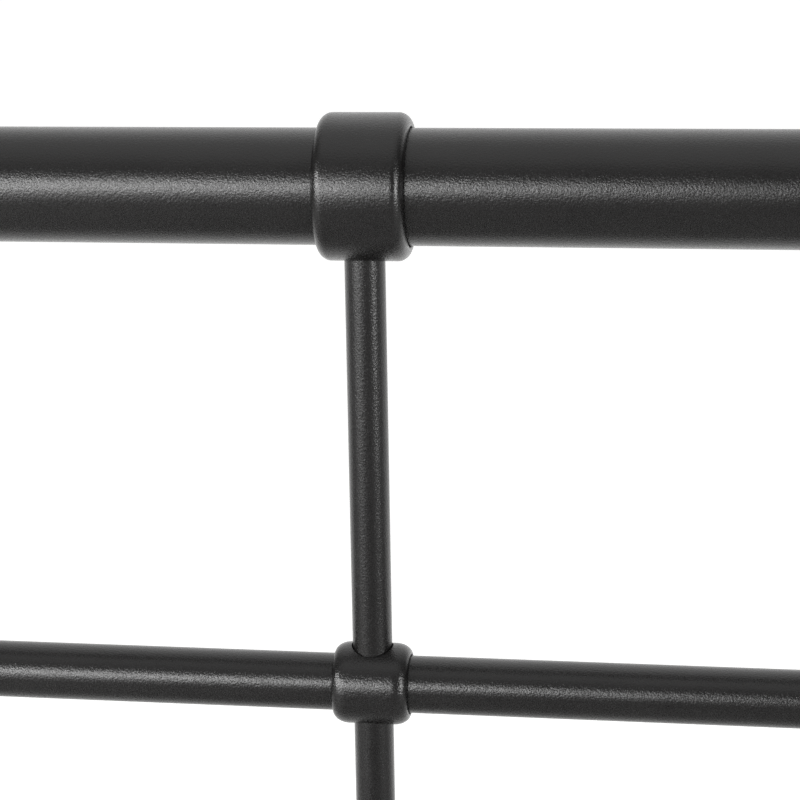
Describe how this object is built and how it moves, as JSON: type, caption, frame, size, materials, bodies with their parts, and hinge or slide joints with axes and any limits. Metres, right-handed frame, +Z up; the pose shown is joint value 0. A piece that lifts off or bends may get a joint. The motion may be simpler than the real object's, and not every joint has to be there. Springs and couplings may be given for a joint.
{
  "type": "metal bed frame",
  "caption": "Queen-size black tubular steel platform bed frame: spindled headboard and footboard with sleeve collars, angle side rails, centre beam on legs, and steel slats",
  "frame": {"origin": "on the floor under the middle of the bed", "axes": "+X across the bed to its right side seen from the foot, +Y along the bed to the headboard, +Z up"},
  "size_m": [1.5866, 2.138, 1.124],
  "materials": {
    "coat": "satin black powder coat over steel tube and sheet, fine orange peel",
    "slat": "satin black powder coat on folded steel channel",
    "glide": "moulded black polyethylene",
    "plug": "moulded black nylon with a threaded bore",
    "foot": "bright zinc-plated steel"
  },
  "bodies": {
    "root": {"beam_hanger_foot": "coat", "beam_hanger_head": "coat", "centre_beam": "coat", "centre_leg_1": "coat", "centre_leg_2": "coat", "footboard_glide_left": "glide", "footboard_glide_right": "glide", "footboard_hoop": "coat", "footboard_lower_collar_1": "coat", "footboard_lower_collar_2": "coat", "footboard_lower_collar_3": "coat", "footboard_lower_collar_4": "coat", "footboard_lower_rail": "coat", "footboard_spindle_1": "coat", "footboard_spindle_2": "coat", "footboard_spindle_3": "coat", "footboard_spindle_4": "coat", "footboard_top_collar_1": "coat", "footboard_top_collar_2": "coat", "footboard_top_collar_3": "coat", "footboard_top_collar_4": "coat", "headboard_glide_left": "glide", "headboard_glide_right": "glide", "headboard_hoop": "coat", "headboard_lower_rail": "coat", "headboard_middle_collar_1": "coat", "headboard_middle_collar_2": "coat", "headboard_middle_collar_3": "coat", "headboard_middle_collar_4": "coat", "headboard_middle_rail": "coat", "headboard_spindle_1": "coat", "headboard_spindle_2": "coat", "headboard_spindle_3": "coat", "headboard_spindle_4": "coat", "headboard_top_collar_1": "coat", "headboard_top_collar_2": "coat", "headboard_top_collar_3": "coat", "headboard_top_collar_4": "coat", "leg_plug_1": "plug", "leg_plug_2": "plug", "rail_bracket_foot_left": "coat", "rail_bracket_foot_right": "coat", "rail_bracket_head_left": "coat", "rail_bracket_head_right": "coat", "side_rail_left": "coat", "side_rail_right": "coat", "slat_1": "slat", "slat_10": "slat", "slat_11": "slat", "slat_12": "slat", "slat_2": "slat", "slat_3": "slat", "slat_4": "slat", "slat_5": "slat", "slat_6": "slat", "slat_7": "slat", "slat_8": "slat", "slat_9": "slat"},
    "foot_1": {"levelling_foot_1": "foot"},
    "foot_2": {"levelling_foot_2": "foot"}
  },
  "joints": [
    {"name": "foot_1_screw", "type": "slide", "parent": "root", "child": "foot_1", "axis": [0, 0, 1], "range_m": [0, 0.012]},
    {"name": "foot_2_screw", "type": "slide", "parent": "root", "child": "foot_2", "axis": [0, 0, 1], "range_m": [0, 0.012]}
  ]
}
